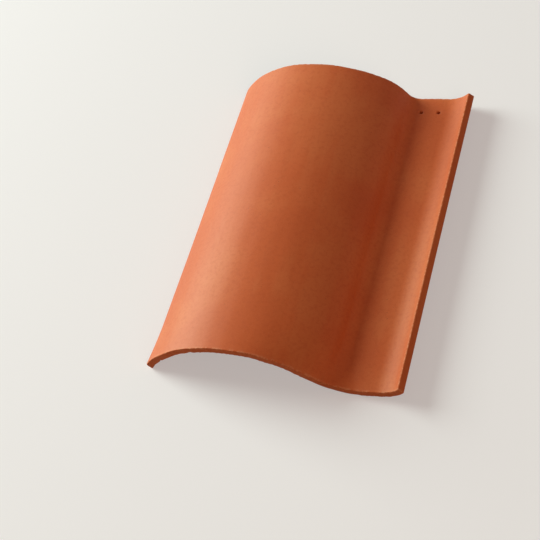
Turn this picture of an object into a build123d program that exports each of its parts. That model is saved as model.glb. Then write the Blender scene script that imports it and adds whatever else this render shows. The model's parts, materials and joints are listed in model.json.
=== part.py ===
# Clay roof tile of S section, fired in one piece: an arched barrel that sheds the rain, and a flat pan
# that carries it off. It lies as it comes to rest on a level floor, on the barrel's free edge and on
# the pan, with its nose, the end that lies down the roof, at -Y and its head at +Y.
# The origin is on the floor, under the middle of the tile. All lengths are in millimetres.
import os
from math import acos, asin, atan2, cos, degrees, hypot, radians, sin

from build123d import *

# The whole tile
tile_length = 457.0
wall = 10.0
corner_round = 2.0
end_round = 1.0

# The section runs from the free edge over the crown and the shoulder to the crease, the pan and the lip.
# Radii and rises are those of the weather face, and rises count from the pan's weather face
barrel_rise = 67.0
edge_top_rise = 11.0
edge_under_rise = 1.0
edge_radius = 140.0
crown_radius = 190.0
crown_turn = 30.0
shoulder_radius = 76.0
crease_radius = 18.0
pan_width = 37.5
lip_radius = 40.0
lip_turn = 48.0

# The nose, where the free edge splays and the crease opens out
nose_reach = 64.0
nose_edge_radius = 147.0
nose_crown_radius = 145.0
nose_shoulder_radius = 140.0
nose_crease_radius = 70.0
nose_stations = 6

# The two nail holes through the pan, near the head
nail_hole_diameter = 5.0
nail_hole_spacing = 24.0
nail_hole_setback = 25.0
nail_hole_margin = 5.0

body_radii = (edge_radius, crown_radius, shoulder_radius, crease_radius)
nose_radii = (nose_edge_radius, nose_crown_radius, nose_shoulder_radius, nose_crease_radius)


def flared_radii(flare):
    """Radii of edge, crown, shoulder and crease, for a flare from 0 along the body to 1 at the nose."""
    return [body + (nose - body) * flare for body, nose in zip(body_radii, nose_radii)]


def edge_turn(edge, depth, rise):
    """Angle from the crown to the free edge, for the face at this depth that ends at this rise."""
    return acos((edge - barrel_rise + rise) / (edge - depth))


def crease_run(crown, shoulder, crease):
    """Slope of the flank above the crease, and how far beyond the crown the pan begins."""
    turn = radians(crown_turn)
    slope = acos((crown + (shoulder - crown) * cos(turn) + crease - barrel_rise) / (shoulder + crease))
    return slope, (crown - shoulder) * sin(turn) + (shoulder + crease) * sin(slope)


# As laid, with the pan level, X counts from the crown and Z from under the pan
crease_x = crease_run(crown_radius, shoulder_radius, crease_radius)[1]
lip_x = crease_x + pan_width


def tile_section(plane, flare):
    """The tile's section on this plane, for a flare from 0 along the body to 1 at the nose."""
    edge, crown, shoulder, crease = flared_radii(flare)
    slope = degrees(crease_run(crown, shoulder, crease)[0])
    corners = []
    with BuildSketch(plane) as section:
        with BuildLine():
            for depth, rise in ((0, edge_top_rise), (wall, edge_under_rise)):
                top = (0, wall + barrel_rise - depth)
                flank = JernArc(top, (-1, 0), edge - depth, degrees(edge_turn(edge, depth, rise)))
                cap = JernArc(top, (1, 0), crown - depth, -crown_turn)
                bend = JernArc(cap @ 1, cap % 1, shoulder - depth, crown_turn - slope)
                trough = JernArc(bend @ 1, bend % 1, crease + depth, slope)
                lip = JernArc((lip_x, wall - depth), (1, 0), lip_radius + depth, lip_turn)
                Line(trough @ 1, lip @ 0)
                corners += [flank @ 1, lip @ 1]
            foot_top, lip_top, foot_under, lip_under = corners
            Line(foot_top, foot_under)
            Line(lip_top, lip_under)
        make_face()
        fillet([section.vertices().sort_by_distance(corner)[0] for corner in corners], corner_round)
    return section.sketch


# At rest the tile leans on two rounds: the one under its free edge, and the underside of its crease
foot_x = (wall - nose_edge_radius) * sin(edge_turn(nose_edge_radius, wall, edge_under_rise))
foot_corner = (foot_x, 0, wall + edge_under_rise)
foot_centre = tile_section(Plane.XZ, 1).edges().sort_by_distance(foot_corner)[0].arc_center
span_x = crease_x - foot_centre.X
span_z = wall + crease_radius - foot_centre.Z
rest_angle = asin((wall + crease_radius - corner_round) / hypot(span_x, span_z)) - atan2(span_z, span_x)


def resting_plane(origin):
    """A plane across the tile, leaning as the tile does at rest."""
    return Plane(origin, x_dir=(cos(rest_angle), 0, sin(rest_angle)), z_dir=(0, -1, 0))


body_box, nose_box = (tile_section(resting_plane((0, 0, 0)), flare).bounding_box() for flare in (0, 1))
resting_box = body_box.add(nose_box)
nose_plane = resting_plane((-resting_box.center().X, -tile_length / 2, -resting_box.min.Z))

nail_x = crease_x + nail_hole_margin + nail_hole_spacing / 2
nail_point = nose_plane.from_local_coords((nail_x, wall))
nail_plane = Plane((nail_point.X, tile_length / 2 - nail_hole_setback, 0))

with BuildPart() as roof_tile:
    nose_sections = []
    for station in range(nose_stations + 1):
        reach = station / nose_stations
        nose_sections.append(tile_section(nose_plane.offset(-reach * nose_reach), (1 - reach) ** 2))
    loft(nose_sections)
    extrude(nose_sections[-1], amount=nose_reach - tile_length)
    for end in roof_tile.faces().sort_by(Axis.Y)[:: len(roof_tile.faces()) - 1]:
        fillet(end.edges(), end_round)
    with BuildSketch(nail_plane):
        with GridLocations(nail_hole_spacing, 0, 2, 1):
            Circle(nail_hole_diameter / 2)
    extrude(amount=wall + barrel_rise, mode=Mode.SUBTRACT)

roof_tile.part.label = "roof_tile"

os.makedirs("parts", exist_ok=True)
export_step(roof_tile.part, "parts/roof_tile.step")
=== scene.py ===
"""A fired clay roof tile of S section, lying at rest on a pale floor, built as one closed mesh."""
import json
import logging
import math
from dataclasses import dataclass, field
from enum import Enum
from itertools import product

import bmesh
import bpy
import numpy as np
from mathutils import Matrix, Vector

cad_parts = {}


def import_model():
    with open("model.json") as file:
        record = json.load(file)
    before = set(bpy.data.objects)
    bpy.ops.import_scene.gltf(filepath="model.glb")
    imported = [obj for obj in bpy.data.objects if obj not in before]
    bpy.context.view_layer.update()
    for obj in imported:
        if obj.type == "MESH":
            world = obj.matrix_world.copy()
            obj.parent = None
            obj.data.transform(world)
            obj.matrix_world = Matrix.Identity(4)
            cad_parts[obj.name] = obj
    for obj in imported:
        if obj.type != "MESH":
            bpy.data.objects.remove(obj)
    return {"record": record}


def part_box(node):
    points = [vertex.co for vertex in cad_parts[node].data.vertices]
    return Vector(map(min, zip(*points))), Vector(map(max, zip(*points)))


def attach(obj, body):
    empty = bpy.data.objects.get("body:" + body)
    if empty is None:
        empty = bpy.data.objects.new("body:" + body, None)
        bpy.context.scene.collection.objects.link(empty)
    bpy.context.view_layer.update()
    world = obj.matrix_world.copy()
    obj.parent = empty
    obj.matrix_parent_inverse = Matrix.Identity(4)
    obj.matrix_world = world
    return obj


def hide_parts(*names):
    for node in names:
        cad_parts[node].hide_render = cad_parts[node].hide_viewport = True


log = logging.getLogger("roof_tile")

Colour = tuple[float, float, float, float]

MM = 0.001
NO_LENGTH = 1e-9
TRIANGLE_LIMIT = 200_000
NOISE_MIDDLE = 0.5
WHITE: Colour = (1.0, 1.0, 1.0, 1.0)


class Stretch(Enum):
    """The stretches of the section, numbered from the free edge to the lip."""

    EDGE = 0
    CROWN = 1
    SHOULDER = 2
    CREASE = 3
    PAN = 4
    LIP = 5


class Mark(Enum):
    """What the mesh tells the finish about each of its places."""

    CUT = "cut"
    RIM = "rim"


def smooth_step(value: np.ndarray | float, low: float, high: float) -> np.ndarray | float:
    """Rises smoothly from 0 at low to 1 at high."""
    share = np.clip((value - low) / (high - low), 0.0, 1.0)
    return share * share * (3 - 2 * share)


@dataclass(frozen=True)
class Ripple:
    """A smooth, repeatable unevenness over two lengths, made of crossing waves.

    Attributes:
        seed: Picks the waves.
        across: Typical wave length along the first coordinate, in metres.
        along: Typical wave length along the second coordinate, in metres.
        height: Typical height of the unevenness.
        waves: How many waves cross.
        rates: How much more often than the typical wave the slowest and the quickest one come.
    """

    seed: int
    across: float
    along: float
    height: float
    waves: int = 24
    rates: tuple[float, float] = (0.6, 1.5)

    def __call__(self, first: np.ndarray, second: np.ndarray) -> np.ndarray:
        """Gives the unevenness at each place.

        Args:
            first: First coordinate of each place, in metres.
            second: Second coordinate of each place, in metres.

        Returns:
            The height at each place.
        """
        chance = np.random.default_rng(self.seed)
        turns = chance.uniform(0.0, math.tau, self.waves)
        rates = chance.uniform(*self.rates, self.waves)
        starts = chance.uniform(0.0, math.tau, self.waves)
        total = np.zeros(np.broadcast(first, second).shape)
        for turn, rate, start in zip(turns, rates, starts):
            phase = first * (math.cos(turn) / self.across) + second * (math.sin(turn) / self.along)
            total += np.cos(math.tau * rate * phase + start)
        return self.height * total / math.sqrt(self.waves / 2)


@dataclass(frozen=True)
class RestPose:
    """How the tile lies on the floor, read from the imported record's seat under the pan.

    Attributes:
        lean: Angle that lifts the lip and lowers the free edge, in radians.
        seat: Middle of the pan's underside.
    """

    lean: float
    seat: Vector

    @classmethod
    def of_record(cls, record: dict) -> "RestPose":
        """Reads the pose from the record's pan_seat mount."""
        mount = next(m for m in record["mounts"] if m["name"] == "pan_seat")
        return cls(math.atan2(mount["axis"][0], -mount["axis"][2]), Vector(mount["pos_m"]))

    def settle(
        self, across: np.ndarray, rise: np.ndarray, seat_across: float
    ) -> tuple[np.ndarray, np.ndarray]:
        """Turns places in the section from as laid to as the tile rests.

        Args:
            across: Distance from the crown, as laid.
            rise: Height over the pan's underside, as laid.
            seat_across: Distance of the seat's middle from the crown, as laid.

        Returns:
            X and Z of each place, at rest.
        """
        beside = across - seat_across
        x = self.seat.x + beside * math.cos(self.lean) - rise * math.sin(self.lean)
        z = self.seat.z + beside * math.sin(self.lean) + rise * math.cos(self.lean)
        return x, z

    def laid_across(self, x: float, rise: float, seat_across: float) -> float:
        """Distance from the crown, as laid, of a place with this X at rest and this rise as laid."""
        return seat_across + (x - self.seat.x + rise * math.sin(self.lean)) / math.cos(self.lean)


@dataclass(frozen=True)
class NailHole:
    """A punched hole through the pan, upright as the tile rests. Lengths are in metres.

    Attributes:
        top_run: Its middle in the weather face, along the section from the free edge.
        under_run: Its middle in the underside, along the section from the free edge.
        up_tile: Distance of its middle from the nose.
        radius: Radius through the wall.
        rim: How much wider it opens at both faces.
        rings: Rings of mesh cells that the hole takes out.
        reach: Rings of mesh cells that are drawn round with it.
    """

    top_run: float
    under_run: float
    up_tile: float
    radius: float
    rim: float = 0.45 * MM
    rings: int = 3
    reach: int = 7

    def ring(self) -> list[tuple[int, int]]:
        """Walks once round the hole's mesh ring.

        Returns:
            Grid steps from the hole's middle to each place of the ring, in order.
        """
        size = self.rings
        right = [(size, step) for step in range(-size, size)]
        far = [(-step, size) for step in range(-size, size)]
        left = [(-size, -step) for step in range(-size, size)]
        near = [(step, -size) for step in range(-size, size)]
        return right + far + left + near


@dataclass
class TileMesh:
    """Grows the mesh from batches of places and from faces between them.

    Attributes:
        batches: Rows of run, depth, distance up the tile, cut and rim for the places of each batch.
        faces: The numbers of the places round each face.
        count: How many places there are.
    """

    batches: list[np.ndarray] = field(default_factory=list)
    faces: list[tuple[int, ...]] = field(default_factory=list)
    count: int = 0

    def add(self, *rows: np.ndarray | float) -> range:
        """Adds a batch of places.

        Args:
            rows: Run, depth, distance up the tile, cut and rim of each place.

        Returns:
            The numbers of the new places.
        """
        self.batches.append(np.stack(np.broadcast_arrays(*rows)))
        first, self.count = self.count, self.count + self.batches[-1].shape[1]
        return range(first, self.count)

    def sheet(self, numbers: np.ndarray) -> None:
        """Adds a sheet of four-sided faces over a grid of place numbers."""
        corners = (numbers[:-1, :-1], numbers[1:, :-1], numbers[1:, 1:], numbers[:-1, 1:])
        self.faces += [tuple(face) for face in np.stack(corners, -1).reshape(-1, 4).tolist()]

    def joined(self) -> np.ndarray:
        """The rows of all batches as one."""
        return np.concatenate(self.batches, axis=1)


@dataclass
class RoofTile:
    """The tile: its sizes, its mesh and its unevenness. Lengths are in metres, angles in radians.

    A place on the tile is given by its run along the section from the free edge, measured on the body's
    weather face, by its depth under that face, and by its distance up the tile from the nose.
    """

    name: str = "clay_tile"
    node: str = "roof_tile"
    body: str = "root"
    slot: str = "fired_clay"

    # The sizes of the part. The radii are those of the edge, the crown, the shoulder and the crease
    wall: float = 10.0 * MM
    corner_round: float = 2.0 * MM
    end_round: float = 1.0 * MM
    barrel_rise: float = 67.0 * MM
    edge_top_rise: float = 11.0 * MM
    edge_under_rise: float = 1.0 * MM
    crown_turn: float = math.radians(30.0)
    pan_width: float = 37.5 * MM
    lip_radius: float = 40.0 * MM
    lip_turn: float = math.radians(48.0)
    body_radii: tuple[float, ...] = (140.0 * MM, 190.0 * MM, 76.0 * MM, 18.0 * MM)
    nose_radii: tuple[float, ...] = (147.0 * MM, 145.0 * MM, 140.0 * MM, 70.0 * MM)
    nose_reach: float = 64.0 * MM

    # The mesh's cells. A nose spacing over 1 draws its rings together towards the nose
    stretch_cells: tuple[int, ...] = (84, 58, 30, 26, 24, 20)
    round_cells: int = 4
    wall_cells: int = 4
    nose_cells: int = 30
    nose_spacing: float = 1.35
    body_cells: int = 74
    head_cells: int = 30
    head_zone: float = 47.0 * MM

    # The unevenness that pressing and drying leave on both faces
    warp: Ripple = Ripple(seed=11, across=0.21, along=0.34, height=0.22 * MM)
    drag: Ripple = Ripple(seed=12, across=0.019, along=0.9, height=0.028 * MM)
    dents: Ripple = Ripple(seed=13, across=0.045, along=0.07, height=0.035 * MM)
    scrape: Ripple = Ripple(seed=14, across=0.012, along=0.6, height=0.09 * MM)

    # The cut ends, which are wavy and crumbly. The shifts make one end differ from the other
    cut_face: Ripple = Ripple(seed=15, across=0.006, along=0.004, height=0.13 * MM)
    cut_face_shift: float = 0.03
    cut_line: Ripple = Ripple(seed=16, across=0.06, along=0.2, height=0.28 * MM)
    cut_line_shift: float = 0.05
    cut_zone: float = 6.0 * MM

    # The chips along the ends, where this ripple is high. They are shallower along the weather face
    chips: Ripple = Ripple(seed=17, across=0.016, along=0.02, height=1.0)
    chip_end_shift: float = 0.1
    chip_face_shift: float = 0.05
    chip_start: float = 1.3
    chip_full: float = 3.4
    chip_depth: float = 0.9 * MM
    chip_reach: float = 2.2 * MM
    chip_above: float = 0.4
    chip_cut: float = 1.6

    # The marks: how cut the long edges look, and how far the worn rims reach in from the ends
    side_cut: float = 0.5
    rim_reach: float = 1.8 * MM

    # What prepare works out
    length: float = field(init=False)
    nose_y: float = field(init=False)
    pan_start: float = field(init=False)
    lip_start: float = field(init=False)
    seat_across: float = field(init=False)
    pose: RestPose = field(init=False)
    runs: np.ndarray = field(init=False)
    run_starts: np.ndarray = field(init=False)
    holes: list[NailHole] = field(init=False)

    def prepare(self, record: dict) -> None:
        """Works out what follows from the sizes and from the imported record.

        Args:
            record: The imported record.
        """
        low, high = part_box(self.node)
        self.length = high.y - low.y
        self.nose_y = low.y
        edge, crown, shoulder, crease = self.body_radii
        slope, self.pan_start = self.crease_run(crown, shoulder, crease)
        self.lip_start = self.pan_start + self.pan_width
        self.seat_across = (self.pan_start + self.lip_start) / 2
        self.pose = RestPose.of_record(record)
        self.runs = np.array((
            edge * self.edge_turn(edge, 0.0, self.edge_top_rise),
            crown * self.crown_turn,
            shoulder * (slope - self.crown_turn),
            crease * slope,
            self.pan_width,
            self.lip_radius * self.lip_turn,
        ))
        self.run_starts = np.concatenate(([0.0], np.cumsum(self.runs)))
        self.holes = self.nail_holes(record)

    def nail_holes(self, record: dict) -> list[NailHole]:
        """Reads the nail holes from the record's nail_holes mount.

        Args:
            record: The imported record.

        Returns:
            The holes, the one nearer the crease first.
        """
        mount = next(m for m in record["mounts"] if m["name"] == "nail_holes")
        x, y, _ = mount["pos_m"]
        half = mount["dims"]["spacing_x_mm"] * MM / 2
        radius = mount["dims"]["hole_r_mm"] * MM
        pan_run = self.run_starts[Stretch.PAN.value]
        holes = []
        for middle in (x - half, x + half):
            crossings = (self.pose.laid_across(middle, rise, self.seat_across) for rise in (self.wall, 0.0))
            top_run, under_run = (pan_run + across - self.pan_start for across in crossings)
            holes.append(NailHole(top_run, under_run, y - self.nose_y, radius))
        return holes

    def edge_turn(self, edge: float, depth: float, rise: float) -> float:
        """Angle from the crown to the free edge, for a face of this depth that ends at this rise."""
        return np.arccos((edge - self.barrel_rise + rise) / (edge - depth))

    def crease_run(self, crown: float, shoulder: float, crease: float) -> tuple[float, float]:
        """Follows the section from the crown to the pan.

        Args:
            crown: Radius of the crown.
            shoulder: Radius of the shoulder.
            crease: Radius of the crease.

        Returns:
            Slope of the flank above the crease, and how far beyond the crown the pan begins.
        """
        level = crown + (shoulder - crown) * math.cos(self.crown_turn)
        slope = np.arccos((level + crease - self.barrel_rise) / (shoulder + crease))
        return slope, (crown - shoulder) * math.sin(self.crown_turn) + (shoulder + crease) * np.sin(slope)

    def flare(self, up: np.ndarray) -> np.ndarray:
        """How far the section has opened out, from 0 along the body to 1 at the nose."""
        return (1 - np.clip(up / self.nose_reach, 0.0, 1.0)) ** 2

    def section(self, run: np.ndarray, depth: np.ndarray, up: np.ndarray) -> tuple[np.ndarray, np.ndarray]:
        """Places in the section as laid, with the pan level.

        Args:
            run: Distance along the section from the free edge.
            depth: Distance under the weather face.
            up: Distance from the nose.

        Returns:
            Distance from the crown and height over the pan's underside.
        """
        flare = self.flare(up)
        radii = zip(self.body_radii, self.nose_radii)
        edge, crown, shoulder, crease = (body + (nose - body) * flare for body, nose in radii)
        slope, pan_start = self.crease_run(crown, shoulder, crease)
        index = np.clip(np.searchsorted(self.run_starts, run, side="right") - 1, 0, len(self.runs) - 1)
        share = (run - self.run_starts[index]) / self.runs[index]
        top_turn = self.edge_turn(edge, 0.0, self.edge_top_rise)
        under_turn = self.edge_turn(edge, self.wall, self.edge_under_rise)
        to_edge = (share - 1) * (top_turn + (under_turn - top_turn) * depth / self.wall)
        over_crown = share * self.crown_turn
        over_shoulder = self.crown_turn + share * (slope - self.crown_turn)
        in_crease = (1 - share) * slope
        in_lip = share * self.lip_turn
        crown_height = self.wall + self.barrel_rise
        shoulder_across = (crown - shoulder) * math.sin(self.crown_turn)
        shoulder_height = crown_height - crown + (crown - shoulder) * math.cos(self.crown_turn)

        # One entry for each stretch, from the free edge to the lip
        across = (
            (edge - depth) * np.sin(to_edge),
            (crown - depth) * np.sin(over_crown),
            shoulder_across + (shoulder - depth) * np.sin(over_shoulder),
            pan_start - (crease + depth) * np.sin(in_crease),
            pan_start + share * (self.lip_start - pan_start),
            self.lip_start + (self.lip_radius + depth) * np.sin(in_lip),
        )
        height = (
            crown_height - edge + (edge - depth) * np.cos(to_edge),
            crown_height - crown + (crown - depth) * np.cos(over_crown),
            shoulder_height + (shoulder - depth) * np.cos(over_shoulder),
            self.wall + crease - (crease + depth) * np.cos(in_crease),
            self.wall - depth,
            self.wall + self.lip_radius - (self.lip_radius + depth) * np.cos(in_lip),
        )
        return np.choose(index, across), np.choose(index, height)

    def run_lines(self) -> np.ndarray:
        """Lays out the mesh's lines along the tile, closer together round the free edge and the lip.

        Returns:
            The run of each line.
        """
        rounds = self.round_lines()
        lines = [rounds]
        for stretch, cells in zip(Stretch, self.stretch_cells):
            start, end = self.run_starts[stretch.value], self.run_starts[stretch.value + 1]
            low = start + self.corner_round if stretch is Stretch.EDGE else start
            high = end - self.corner_round if stretch is Stretch.LIP else end
            lines.append(np.linspace(low, high, cells + 1)[1:])
        lines.append(self.run_starts[-1] - rounds[-2::-1])
        return np.concatenate(lines)

    def round_lines(self) -> np.ndarray:
        """Distances from a corner at which mesh lines turn evenly round it."""
        turns = np.linspace(math.pi / 4, 0.0, self.round_cells + 1)
        return self.corner_round * (1 - np.tan(turns))

    def depth_lines(self) -> np.ndarray:
        """Lays out the mesh's lines through the wall.

        Returns:
            The depth of each line.
        """
        rounds = self.round_lines()
        middle = np.linspace(self.corner_round, self.wall - self.corner_round, self.wall_cells + 1)
        return np.concatenate((rounds, middle[1:], self.wall - rounds[-2::-1]))

    def stations(self) -> tuple[np.ndarray, np.ndarray]:
        """Lays out the mesh's rings round the tile.

        Returns:
            Distance of each ring from the nose, and how far it is drawn in to round the ends.
        """
        turns = np.linspace(0.0, math.pi / 2, self.round_cells + 1)
        ends = self.end_round * (1 - np.cos(turns))
        insets = self.end_round * (1 - np.sin(turns))
        nose = np.linspace(0.0, 1.0, self.nose_cells + 1)[1:] ** self.nose_spacing
        nose = self.end_round + (self.nose_reach - self.end_round) * nose
        head_start, head_end = self.length - self.head_zone, self.length - self.end_round
        body = np.linspace(self.nose_reach, head_start, self.body_cells + 1)[1:]
        head = np.linspace(head_start, head_end, self.head_cells + 1)[1:]
        up = np.concatenate((ends, nose, body, head, self.length - ends[-2::-1]))
        middle = np.zeros(len(nose) + len(body) + len(head))
        return up, np.concatenate((insets, middle, insets[-2::-1]))

    def rounded(self, run: np.ndarray, depth: np.ndarray, inset: np.ndarray) -> tuple[np.ndarray, ...]:
        """Rounds the corners of the flat section and draws it in.

        Args:
            run: Distance along the section from the free edge.
            depth: Distance under the weather face.
            inset: How far the outline is drawn in.

        Returns:
            The new run and depth, and how near each place is to the middle of a round.
        """
        size = self.corner_round
        kept_run = np.clip(run, size, self.run_starts[-1] - size)
        kept_depth = np.clip(depth, size, self.wall - size)
        shrink = (size - inset) / size
        beside, under = (run - kept_run) * shrink, (depth - kept_depth) * shrink
        longer = np.maximum(np.abs(beside), np.abs(under))
        shorter = np.minimum(np.abs(beside), np.abs(under))
        reach = np.hypot(beside, under)
        pull = np.divide(longer, reach, out=np.ones_like(reach), where=reach > NO_LENGTH)
        return kept_run + beside * pull, kept_depth + under * pull, shorter / size

    def marks(
        self, run: np.ndarray, up: np.ndarray, inset: np.ndarray, corner: np.ndarray
    ) -> tuple[np.ndarray, np.ndarray]:
        """Tells cut clay and worn rims from the rest.

        Args:
            run: Distance along the section from the free edge.
            up: Distance from the nose.
            inset: How far the outline is drawn in.
            corner: How near each place is to the middle of a round along the tile.

        Returns:
            How much of each place is cut clay, and how much of it is a worn rim.
        """
        to_end = np.minimum(up, self.length - up)
        to_side = np.minimum(run, self.run_starts[-1] - run)
        end_cut = np.clip(1 - to_end / self.end_round, 0.0, 1.0)
        side_cut = self.side_cut * np.clip(1 - to_side / self.corner_round, 0.0, 1.0)
        turn = np.arcsin(1 - inset / self.end_round)
        beside = np.exp(-(to_end / self.rim_reach) ** 2) * np.sin(turn)
        rim = np.maximum(np.maximum(np.sin(2 * turn), corner), beside)
        return np.maximum(end_cut, side_cut), rim

    def grow(self) -> TileMesh:
        """Lays out the closed mesh of the tile with its nail holes.

        Returns:
            The mesh in run, depth and distance up the tile.
        """
        runs, depths = self.run_lines(), self.depth_lines()
        ups, insets = self.stations()
        run, depth, up = np.meshgrid(runs, depths, ups, indexing="ij")
        for hole in self.holes:
            self.draw_round(hole, run, up, runs, ups)
        run, depth, corner = self.rounded(run, depth, insets)
        cut, rim = self.marks(run, up, insets, corner)
        skin = np.zeros(run.shape, bool)
        skin[[0, -1]] = skin[:, [0, -1]] = skin[:, :, [0, -1]] = True
        numbers = np.full(run.shape, -1)
        numbers[skin] = np.arange(skin.sum())
        mesh = TileMesh()
        mesh.add(*(grid[skin] for grid in (run, depth, up, cut, rim)))
        for axis, side in product((1, 0, 2), (0, -1)):
            mesh.sheet(numbers.take(side, axis))
        for hole in self.holes:
            self.punch(mesh, hole, numbers, runs, ups)
        return mesh

    def draw_round(
        self, hole: NailHole, run: np.ndarray, up: np.ndarray, runs: np.ndarray, ups: np.ndarray
    ) -> None:
        """Draws the mesh lines round a nail hole, in both faces.

        Args:
            hole: The hole.
            run: Run of every place of the grid, changed in place.
            up: Distance up the tile of every place of the grid, changed in place.
            runs: Runs of the mesh's lines.
            ups: Distances up the tile of the mesh's rings.
        """
        column, row = self.grid_place(hole, runs, ups)
        cell = runs[column + 1] - runs[column]
        steps = range(-hole.reach, hole.reach + 1)
        for step_run, step_up in product(steps, steps):
            ring = max(abs(step_run), abs(step_up))
            if ring < hole.rings:
                continue
            far = hole.radius + hole.rim + (ring - hole.rings) * cell
            hold = 1 - smooth_step(ring, hole.rings, hole.reach)
            turn = math.atan2(step_up, step_run)
            for level, middle in ((0, hole.top_run), (-1, hole.under_run)):
                place = (column + step_run, level, row + step_up)
                run[place] += hold * (middle + far * math.cos(turn) - run[place])
                up[place] += hold * (hole.up_tile + far * math.sin(turn) - up[place])

    @staticmethod
    def grid_place(hole: NailHole, runs: np.ndarray, ups: np.ndarray) -> tuple[int, int]:
        """Column and row of the mesh crossing next to the middle of a hole."""
        return int(np.abs(runs - hole.top_run).argmin()), int(np.abs(ups - hole.up_tile).argmin())

    def punch(
        self, mesh: TileMesh, hole: NailHole, numbers: np.ndarray, runs: np.ndarray, ups: np.ndarray
    ) -> None:
        """Takes a nail hole out of both faces and gives it its wall.

        Args:
            mesh: The mesh, changed in place.
            hole: The hole.
            numbers: Place numbers of the grid.
            runs: Runs of the mesh's lines.
            ups: Distances up the tile of the mesh's rings.
        """
        column, row = self.grid_place(hole, runs, ups)
        columns = slice(column - hole.rings, column + hole.rings + 1)
        rows = slice(row - hole.rings, row + hole.rings + 1)
        gone = set(numbers[columns, 0, rows].ravel()) | set(numbers[columns, -1, rows].ravel())
        mesh.faces = [face for face in mesh.faces if not gone.issuperset(face)]
        ring = hole.ring()
        turns = np.array([math.atan2(step_up, step_run) for step_run, step_up in ring])
        top, under = (
            [int(numbers[column + step_run, level, row + step_up]) for step_run, step_up in ring]
            for level in (0, -1)
        )
        loops = [top]
        for depth in (hole.rim, self.wall / 2, self.wall - hole.rim):
            middle = hole.top_run + (hole.under_run - hole.top_run) * depth / self.wall
            run = middle + hole.radius * np.cos(turns)
            up = hole.up_tile + hole.radius * np.sin(turns)
            loops.append(mesh.add(run, depth, up, 1.0, 0.0))
        loops.append(under)
        for upper, lower in zip(loops[:-1], loops[1:]):
            for here in range(len(ring)):
                after = (here + 1) % len(ring)
                mesh.faces.append((upper[here], upper[after], lower[after], lower[here]))

    def roughen(
        self, run: np.ndarray, depth: np.ndarray, up: np.ndarray, cut: np.ndarray
    ) -> tuple[np.ndarray, ...]:
        """Gives the smooth tile its unevenness, its cut ends and its chips.

        Args:
            run: Distance along the section from the free edge.
            depth: Distance under the weather face.
            up: Distance from the nose.
            cut: How much of each place is cut clay.

        Returns:
            The new depth, distance up the tile and cut.
        """
        through = depth / self.wall
        weather = self.warp(run, up) + self.drag(run, up) + self.dents(run, up)
        under = self.scrape(run, up) - self.warp(run, up)
        new_depth = depth - weather * (1 - through) + under * through
        to_end = np.minimum(up, self.length - up)
        which_end = np.where(up < self.length / 2, 1.0, -1.0)
        near_end = np.clip(1 - to_end / self.cut_zone, 0.0, 1.0) ** 2
        shove = self.cut_line(run, which_end * self.cut_line_shift)
        shove = shove + self.cut_face(run, depth + which_end * self.cut_face_shift)
        new_up = up + which_end * near_end * shove
        to_face = np.minimum(depth, self.wall - depth)
        which_face = np.where(through < 0.5, 1.0, -1.0)
        shift = self.chip_end_shift * which_end + self.chip_face_shift * which_face
        loss = smooth_step(self.chips(run, shift), self.chip_start, self.chip_full)
        loss = loss * np.exp(-(np.hypot(to_end, to_face) / self.chip_reach) ** 2)
        loss = loss * np.where(which_face > 0, self.chip_above, 1.0)
        new_up += which_end * loss * self.chip_depth
        new_depth += which_face * loss * self.chip_depth
        return new_depth, new_up, np.maximum(cut, np.clip(self.chip_cut * loss, 0.0, 1.0))

    def build(self) -> bpy.types.Object:
        """Builds the tile's object, at rest on the floor.

        Returns:
            The new object.

        Raises:
            ValueError: If the mesh is open or has too many triangles.
        """
        grown = self.grow()
        run, depth, up, cut, rim = grown.joined()
        depth, up, cut = self.roughen(run, depth, up, cut)
        across, height = self.section(run, depth, up)
        x, z = self.pose.settle(across, height, self.seat_across)
        places = np.stack((x, self.nose_y + up, z - z.min()), -1)
        mesh = bpy.data.meshes.new(self.name)
        mesh.from_pydata(places.tolist(), [], grown.faces)
        for mark, values in ((Mark.CUT, cut), (Mark.RIM, rim)):
            layer = mesh.attributes.new(mark.value, "FLOAT", "POINT")
            layer.data.foreach_set("value", values.astype(np.float32))
        shaped = bmesh.new()
        shaped.from_mesh(mesh)
        bmesh.ops.delete(shaped, geom=[v for v in shaped.verts if not v.link_faces], context="VERTS")
        bmesh.ops.recalc_face_normals(shaped, faces=shaped.faces)
        open_edges = sum(not edge.is_manifold for edge in shaped.edges)
        shaped.to_mesh(mesh)
        shaped.free()
        mesh.shade_smooth()
        mesh.calc_loop_triangles()
        triangles = len(mesh.loop_triangles)
        if open_edges or triangles > TRIANGLE_LIMIT:
            raise ValueError(f"{self.name} has {open_edges} open edges and {triangles} triangles")
        tile = bpy.data.objects.new(self.name, mesh)
        bpy.context.scene.collection.objects.link(tile)
        return tile

    @staticmethod
    def dress(tile: bpy.types.Object, finish: "FiredClay") -> None:
        """Gives the tile its finish."""
        tile.data.materials.append(finish.material())


class Amount:
    """A number that varies over a surface. Python arithmetic on it adds Math nodes."""

    def __init__(self, shading: "Shading", socket: bpy.types.NodeSocket) -> None:
        """Wraps an output socket."""
        self.shading = shading
        self.socket = socket

    def combine(self, operation: str, first: "Amount | float", second: "Amount | float") -> "Amount":
        """Adds a Math node over two numbers."""
        return self.shading.amount("ShaderNodeMath", {"operation": operation}, {0: first, 1: second})

    def __add__(self, other: "Amount | float") -> "Amount":
        """Sum."""
        return self.combine("ADD", self, other)

    def __radd__(self, other: float) -> "Amount":
        """Sum, with the number first."""
        return self.combine("ADD", other, self)

    def __sub__(self, other: "Amount | float") -> "Amount":
        """Difference."""
        return self.combine("SUBTRACT", self, other)

    def __rsub__(self, other: float) -> "Amount":
        """Difference, with the number first."""
        return self.combine("SUBTRACT", other, self)

    def __mul__(self, other: "Amount | float") -> "Amount":
        """Product."""
        return self.combine("MULTIPLY", self, other)

    def __rmul__(self, other: float) -> "Amount":
        """Product, with the number first."""
        return self.combine("MULTIPLY", other, self)


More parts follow.
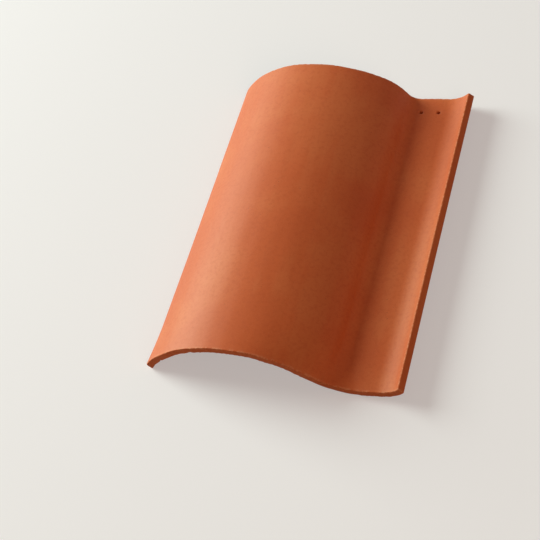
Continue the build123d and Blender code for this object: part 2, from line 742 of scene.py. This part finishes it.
@dataclass(frozen=True)
class Pattern:
    """A cloudy pattern.

    Attributes:
        size: Size of its lumps, in metres.
        detail: How many finer layers it has.
        rough: How strong each finer layer is beside the one before.
    """

    size: float
    detail: float
    rough: float


@dataclass(frozen=True)
class Layer:
    """A colour that is laid over another as far as an amount has gone from one value to another.

    Attributes:
        colour: The colour.
        start: The amount at which it begins to show.
        full: The amount at which it shows most.
        share: How much of it there is where it shows most.
    """

    colour: Colour
    start: float
    full: float
    share: float


class Shading:
    """A node tree that is filled from Python."""

    # Sockets of a Mix node that mixes colours: both colours, and the result
    FIRST = 6
    SECOND = 7
    RESULT = 2

    def __init__(self, tree: bpy.types.NodeTree) -> None:
        """Takes a tree and clears it."""
        self.tree = tree
        tree.nodes.clear()

    def node(self, kind: str, settings: dict | None = None, inputs: dict | None = None) -> bpy.types.Node:
        """Adds a node.

        Args:
            kind: The node's type.
            settings: Properties of the node, set first.
            inputs: Value or link for each input socket, by name or number.

        Returns:
            The new node.
        """
        made = self.tree.nodes.new(kind)
        for key, value in (settings or {}).items():
            setattr(made, key, value)
        for key, value in (inputs or {}).items():
            if isinstance(value, Amount):
                value = value.socket
            if isinstance(value, bpy.types.NodeSocket):
                self.tree.links.new(value, made.inputs[key])
            else:
                made.inputs[key].default_value = value
        return made

    def amount(self, kind: str, settings: dict, inputs: dict, output: int | str = 0) -> Amount:
        """Adds a node and wraps one of its outputs as a number."""
        return Amount(self, self.node(kind, settings, inputs).outputs[output])

    def mark(self, mark: Mark) -> Amount:
        """What the mesh says of a mark."""
        return self.amount("ShaderNodeAttribute", {"attribute_name": mark.value}, {}, "Fac")

    def noise(self, place: bpy.types.NodeSocket, pattern: Pattern) -> Amount:
        """Adds cloudy noise.

        Args:
            place: Where on the surface the noise is asked for, in metres.
            pattern: The pattern of the noise.

        Returns:
            The noise, from 0 to 1 and mostly near the middle.
        """
        inputs = {"Vector": place, "Scale": 1 / pattern.size}
        inputs |= {"Detail": pattern.detail, "Roughness": pattern.rough}
        return self.amount("ShaderNodeTexNoise", {}, inputs, "Fac")

    def stretched(self, place: bpy.types.NodeSocket, scale: tuple[float, ...]) -> bpy.types.NodeSocket:
        """A vector multiplied by a scale on each axis."""
        return self.node("ShaderNodeVectorMath", {"operation": "MULTIPLY"}, {0: place, 1: scale}).outputs[0]

    def step(self, value: Amount, low: float, high: float) -> Amount:
        """Rises smoothly from 0 at low to 1 at high."""
        inputs = {"Value": value, "From Min": low, "From Max": high}
        return self.amount("ShaderNodeMapRange", {"interpolation_type": "SMOOTHSTEP"}, inputs)

    def blend(
        self, share: Amount, first: "bpy.types.NodeSocket | Colour", second: "bpy.types.NodeSocket | Colour"
    ) -> bpy.types.NodeSocket:
        """Mixes two colours.

        Args:
            share: How much of the second colour there is.
            first: The first colour.
            second: The second colour.

        Returns:
            The mixed colour.
        """
        settings = {"data_type": "RGBA", "clamp_factor": True}
        inputs = {0: share, self.FIRST: first, self.SECOND: second}
        return self.node("ShaderNodeMix", settings, inputs).outputs[self.RESULT]

    def lay(
        self, layer: Layer, under: "bpy.types.NodeSocket | Colour", where: Amount, mask: Amount | None = None
    ) -> bpy.types.NodeSocket:
        """Lays the colour of a layer over another.

        Args:
            layer: The layer.
            under: The colour under it.
            where: The amount that the layer follows.
            mask: Where there may be any of it, if not everywhere.

        Returns:
            The new colour.
        """
        share = self.step(where, layer.start, layer.full) * layer.share
        return self.blend(share if mask is None else share * mask, under, layer.colour)


@dataclass(frozen=True)
class FiredClay:
    """Unglazed clay as fired: fine grained, satin on the pressed faces and rougher where it was cut.

    Colours are linear, and sizes are in metres.
    """

    name: str = "fired_clay"
    clay: Colour = (0.59, 0.104, 0.022, 1.0)
    bloom: Colour = (0.67, 0.190, 0.060, 1.0)
    deep: Colour = (0.48, 0.068, 0.015, 1.0)
    cut: Colour = (0.55, 0.110, 0.032, 1.0)
    dust: Colour = (0.76, 0.30, 0.150, 1.0)
    pit: Colour = (0.15, 0.030, 0.012, 1.0)

    clouds: Pattern = Pattern(size=0.11, detail=3.0, rough=0.55)
    streaks: Pattern = Pattern(size=0.014, detail=2.0, rough=0.6)
    mottling: Pattern = Pattern(size=0.0045, detail=3.0, rough=0.6)
    graining: Pattern = Pattern(size=0.0009, detail=2.0, rough=0.7)
    streak_scale: tuple[float, float, float] = (1.0, 0.06, 1.0)
    pit_spacing: float = 0.009
    pit_chance: tuple[float, float] = (0.55, 0.75)
    pit_reach: tuple[float, float] = (0.02, 0.075)

    # The layers of colour, from the lowest to the topmost, and how much of the streaks and of the grain
    # is mixed into the pattern that some of them follow
    pale_clouds: Layer = Layer(bloom, start=0.58, full=0.86, share=0.32)
    pale_streaks: float = 0.35
    dark_clouds: Layer = Layer(deep, start=0.42, full=0.12, share=0.24)
    dark_streaks: float = -0.30
    mottles: Layer = Layer(deep, start=0.44, full=0.70, share=0.34)
    grains: Layer = Layer(bloom, start=0.48, full=0.76, share=0.42)
    cut_share: float = 0.85
    crumb_grain: float = 0.8
    crumbs: Layer = Layer(bloom, start=0.46, full=0.62, share=0.35)
    worn_rims: Layer = Layer(dust, start=0.44, full=0.60, share=0.70)
    pit_share: float = 0.8

    # How rough the surface is, and how much rougher and how much higher each pattern makes it
    roughness: float = 0.53
    mottle_roughness: float = 0.14
    grain_roughness: float = 0.10
    cut_roughness: float = 0.28
    pit_roughness: float = 0.2
    bump: float = 0.19 * MM
    mottle_relief: float = 0.35
    grain_relief: float = 0.45
    pit_relief: float = -0.8
    cut_mottle_relief: float = 2.6
    cut_grain_relief: float = 1.2

    # The satin gloss, and a faint sheen at a low angle
    gloss: float = 0.36
    gloss_colour: Colour = (1.0, 0.88, 0.66, 1.0)
    sheen: float = 0.10
    sheen_spread: float = 0.5
    sheen_colour: Colour = (1.0, 0.92, 0.72, 1.0)

    def pits(self, shading: Shading, place: bpy.types.NodeSocket) -> Amount:
        """Scatters small pits.

        Args:
            shading: The material's node tree.
            place: Where on the surface the pits are asked for, in metres.

        Returns:
            1 in a pit and 0 outside.
        """
        cell = shading.node("ShaderNodeTexVoronoi", {}, {"Vector": place, "Scale": 1 / self.pit_spacing})
        chosen = shading.step(Amount(shading, cell.outputs["Color"]), *self.pit_chance)
        return (1 - shading.step(Amount(shading, cell.outputs["Distance"]), *self.pit_reach)) * chosen

    def material(self) -> bpy.types.Material:
        """Makes the material.

        Returns:
            The new material.
        """
        made = bpy.data.materials.new(self.name)
        made.use_nodes = True
        shading = Shading(made.node_tree)
        place = shading.node("ShaderNodeTexCoord").outputs["Object"]
        cut, rim = shading.mark(Mark.CUT), shading.mark(Mark.RIM)
        cloud = shading.noise(place, self.clouds)
        streak = shading.noise(shading.stretched(place, self.streak_scale), self.streaks)
        mottle = shading.noise(place, self.mottling)
        grain = shading.noise(place, self.graining)
        pit = self.pits(shading, place)

        colour = shading.lay(self.pale_clouds, self.clay, cloud + streak * self.pale_streaks)
        colour = shading.lay(self.dark_clouds, colour, cloud + streak * self.dark_streaks)
        colour = shading.lay(self.mottles, colour, mottle)
        colour = shading.lay(self.grains, colour, grain)
        colour = shading.blend(cut * self.cut_share, colour, self.cut)
        crumb = mottle + (grain - NOISE_MIDDLE) * self.crumb_grain
        colour = shading.lay(self.crumbs, colour, crumb, cut)
        colour = shading.lay(self.worn_rims, colour, crumb, rim)
        colour = shading.blend(pit * self.pit_share, colour, self.pit)

        rough = self.roughness + self.mottle_roughness * (mottle - NOISE_MIDDLE)
        rough = rough + self.grain_roughness * (grain - NOISE_MIDDLE)
        rough = rough + self.cut_roughness * cut + self.pit_roughness * pit
        relief = self.mottle_relief * mottle + self.grain_relief * grain + self.pit_relief * pit
        relief = relief + cut * (self.cut_mottle_relief * mottle + self.cut_grain_relief * grain)
        bump = shading.node("ShaderNodeBump", {}, {"Strength": 1.0, "Distance": self.bump, "Height": relief})
        inputs = {"Base Color": colour, "Roughness": rough, "Normal": bump.outputs["Normal"]}
        inputs |= {"Specular IOR Level": self.gloss, "Specular Tint": self.gloss_colour}
        inputs |= {"Sheen Weight": self.sheen, "Sheen Roughness": self.sheen_spread}
        inputs |= {"Sheen Tint": self.sheen_colour}
        surface = shading.node("ShaderNodeBsdfPrincipled", {}, inputs)
        shading.node("ShaderNodeOutputMaterial", {}, {"Surface": surface.outputs[0]})
        return made


@dataclass(frozen=True)
class SoftLamp:
    """A round soft lamp that points at the tile. Angles are in degrees, lengths in metres, power in watts.

    The azimuth is counted from +X towards +Y, and the height is above the floor.
    """

    name: str
    azimuth: float
    height: float
    power: float
    colour: tuple[float, float, float]
    size: float = 3.0
    distance: float = 5.0
    aim: tuple[float, float, float] = (-0.03, -0.05, 0.03)

    def hang(self) -> bpy.types.Object:
        """Hangs the lamp.

        Returns:
            The lamp's object.
        """
        turn, height = math.radians(self.azimuth), math.radians(self.height)
        level = math.cos(height)
        away = Vector((math.cos(turn) * level, math.sin(turn) * level, math.sin(height)))
        light = bpy.data.lights.new(self.name, "AREA")
        light.shape = "DISK"
        light.size = self.size
        light.energy = self.power
        light.color = self.colour
        lamp = bpy.data.objects.new(self.name, light)
        lamp.location = Vector(self.aim) + away * self.distance
        lamp.rotation_euler = away.to_track_quat("Z", "Y").to_euler()
        bpy.context.scene.collection.objects.link(lamp)
        return lamp


@dataclass(frozen=True)
class Studio:
    """A pale floor, a soft lamp low on the free edge's side, a weaker one in front, and an even fill.

    The floor glows a little for whatever sees it, and more from near_edge to far_edge, where it runs into
    the white backdrop. The light that bounces off it is that of floor_bounce. Lengths are in metres.
    """

    floor_half: float = 30.0
    floor_drop: float = 0.02 * MM
    floor_seen: Colour = (0.91, 0.842, 0.85, 1.0)
    floor_bounce: Colour = (0.34, 0.24, 0.17, 1.0)
    floor_roughness: float = 0.9
    floor_glow: float = 0.35
    far_glow: float = 1.0
    near_edge: float = 0.7
    far_edge: float = 5.0
    fill: float = 0.15
    fill_colour: Colour = (1.0, 0.64, 0.42, 1.0)
    main_lamp: SoftLamp = SoftLamp(
        "main_lamp", azimuth=164.0, height=24.0, power=345.0, colour=(0.91, 1.08, 1.01)
    )
    front_lamp: SoftLamp = SoftLamp(
        "front_lamp", azimuth=-50.0, height=35.0, power=48.0, colour=(1.0, 0.76, 0.54)
    )

    @staticmethod
    def seen(shading: Shading) -> Amount:
        """Tells what is seen from light that bounces.

        Args:
            shading: The node tree that asks.

        Returns:
            1 for what the camera sees, also in a reflection or through glass, and 0 for light that bounces.
        """
        path = shading.node("ShaderNodeLightPath").outputs
        rays = [Amount(shading, path[f"Is {ray} Ray"]) for ray in ("Camera", "Glossy", "Transmission")]
        return shading.amount("ShaderNodeClamp", {}, {"Value": rays[0] + rays[1] + rays[2]})

    def floor_material(self) -> bpy.types.Material:
        """Makes the floor's material.

        Returns:
            The new material.
        """
        made = bpy.data.materials.new("floor")
        made.use_nodes = True
        shading = Shading(made.node_tree)
        seen = self.seen(shading)
        colour = shading.blend(seen, self.floor_bounce, self.floor_seen)
        inputs = {"Base Color": colour, "Roughness": self.floor_roughness}
        lit = shading.node("ShaderNodeBsdfPrincipled", {}, inputs)
        glow = shading.node("ShaderNodeEmission")
        place = shading.node("ShaderNodeTexCoord").outputs["Object"]
        reach = shading.amount("ShaderNodeVectorMath", {"operation": "LENGTH"}, {0: place}, "Value")
        far = shading.step(reach, self.near_edge, self.far_edge)
        share = seen * (self.floor_glow + (self.far_glow - self.floor_glow) * far)
        shares = {0: share, 1: lit.outputs[0], 2: glow.outputs[0]}
        surface = shading.node("ShaderNodeMixShader", {}, shares)
        shading.node("ShaderNodeOutputMaterial", {}, {"Surface": surface.outputs[0]})
        return made

    def floor(self) -> bpy.types.Object:
        """Lays the floor, just under the tile.

        Returns:
            The floor's object.
        """
        mesh = bpy.data.meshes.new("floor")
        shaped = bmesh.new()
        bmesh.ops.create_grid(shaped, x_segments=2, y_segments=2, size=self.floor_half)
        bmesh.ops.translate(shaped, verts=shaped.verts, vec=(0.0, 0.0, -self.floor_drop))
        shaped.to_mesh(mesh)
        shaped.free()
        mesh.materials.append(self.floor_material())
        floor = bpy.data.objects.new("floor", mesh)
        bpy.context.scene.collection.objects.link(floor)
        return floor

    def world(self) -> None:
        """Gives the scene an even fill and a white backdrop."""
        world = bpy.data.worlds.new("studio")
        world.use_nodes = True
        bpy.context.scene.world = world
        shading = Shading(world.node_tree)
        seen = self.seen(shading)
        strength = self.fill + (1 - self.fill) * seen
        colour = shading.blend(seen, self.fill_colour, WHITE)
        backdrop = shading.node("ShaderNodeBackground", {}, {"Color": colour, "Strength": strength})
        shading.node("ShaderNodeOutputWorld", {}, {"Surface": backdrop.outputs[0]})

    def light(self) -> None:
        """Hangs both lamps and sets the world."""
        self.main_lamp.hang()
        self.front_lamp.hang()
        self.world()


@dataclass(frozen=True)
class Viewpoint:
    """The camera, on the photograph's line of sight to the tile. Angles are in degrees, lengths in metres.

    Azimuth 0 looks along +Y and 90 along -X, elevation is above the floor, and a negative roll turns the
    camera clockwise. The sensor's width and the focal length are in millimetres.
    """

    azimuth: float = 32.483
    elevation: float = 52.582
    roll: float = -21.091
    target: tuple[float, float, float] = (-0.03436, -0.08809, 0.035)
    distance: float = 1.5846
    sensor: float = 36.0
    lens: float = 84.493

    def camera(self) -> bpy.types.Object:
        """Makes the scene's camera.

        Returns:
            The camera's object.
        """
        turn, height, roll = (math.radians(angle) for angle in (self.azimuth, self.elevation, self.roll))
        level = Vector((math.cos(turn), math.sin(turn), 0.0))
        ahead = Vector((-math.sin(turn), math.cos(turn), 0.0))
        gaze = ahead * math.cos(height) - Vector((0.0, 0.0, math.sin(height)))
        upright = level.cross(gaze)
        right = math.cos(roll) * level + math.sin(roll) * upright
        upward = math.cos(roll) * upright - math.sin(roll) * level
        made = bpy.data.cameras.new("camera")
        made.sensor_width = self.sensor
        made.lens = self.lens
        camera = bpy.data.objects.new("camera", made)
        camera.matrix_world = Matrix((right, upward, -gaze)).transposed().to_4x4()
        camera.location = Vector(self.target) - gaze * self.distance
        bpy.context.scene.collection.objects.link(camera)
        bpy.context.scene.camera = camera
        return camera


def main(frame: dict) -> None:
    """Builds the tile, dresses it and sets the studio and the camera.

    Args:
        frame: The loaded frame.
    """
    logging.basicConfig(level=logging.INFO, format="%(message)s")
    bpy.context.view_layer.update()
    roof_tile = RoofTile()
    roof_tile.prepare(frame["record"])
    tile = roof_tile.build()
    roof_tile.dress(tile, FiredClay())
    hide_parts(roof_tile.node)
    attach(tile, roof_tile.body)
    log.info("%s: %d triangles, closed", tile.name, len(tile.data.loop_triangles))
    studio = Studio()
    studio.floor()
    studio.light()
    Viewpoint().camera()
    bpy.context.scene.view_settings.view_transform = "Standard"


if __name__ == "__main__":
    main(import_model())
